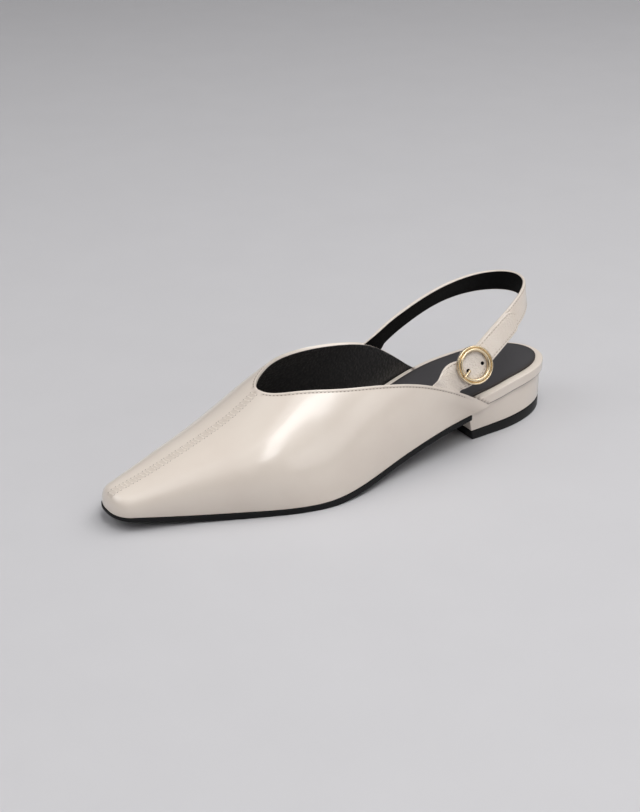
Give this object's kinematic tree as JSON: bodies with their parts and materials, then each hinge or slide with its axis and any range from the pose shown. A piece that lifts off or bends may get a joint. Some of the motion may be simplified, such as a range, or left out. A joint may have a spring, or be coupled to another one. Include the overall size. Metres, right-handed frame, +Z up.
{
  "type": "slingback pump",
  "caption": "Low block-heeled slingback pump with a snipped pointed toe, centre seam and a buckled heel strap, worn on a foot.",
  "frame": {"origin": "centre of the bounding box, on the floor the shoe stands on", "axes": "+X from heel to toe, +Y to the lateral (outer, left) side, +Z up"},
  "size_m": [0.2554, 0.0776, 0.072],
  "materials": {
    "sole_rubber": "matte black",
    "heel_leather": "glossy cream",
    "lift_rubber": "matte black",
    "rim_leather": "glossy cream",
    "sock": "matte charcoal",
    "upper_leather": "glossy cream",
    "strap_leather": "glossy cream",
    "billet_leather": "glossy cream",
    "buckle_gold": "polished gold plate",
    "prong_gold": "polished gold plate"
  },
  "bodies": {
    "root": {"outsole": "sole_rubber", "heel_block": "heel_leather", "heel_top_lift": "lift_rubber", "footbed": "rim_leather", "insole_sock": "sock", "upper": "upper_leather", "sling_strap": "strap_leather", "strap_billet": "billet_leather", "buckle_frame": "buckle_gold", "buckle_prong": "prong_gold"}
  },
  "joints": []
}
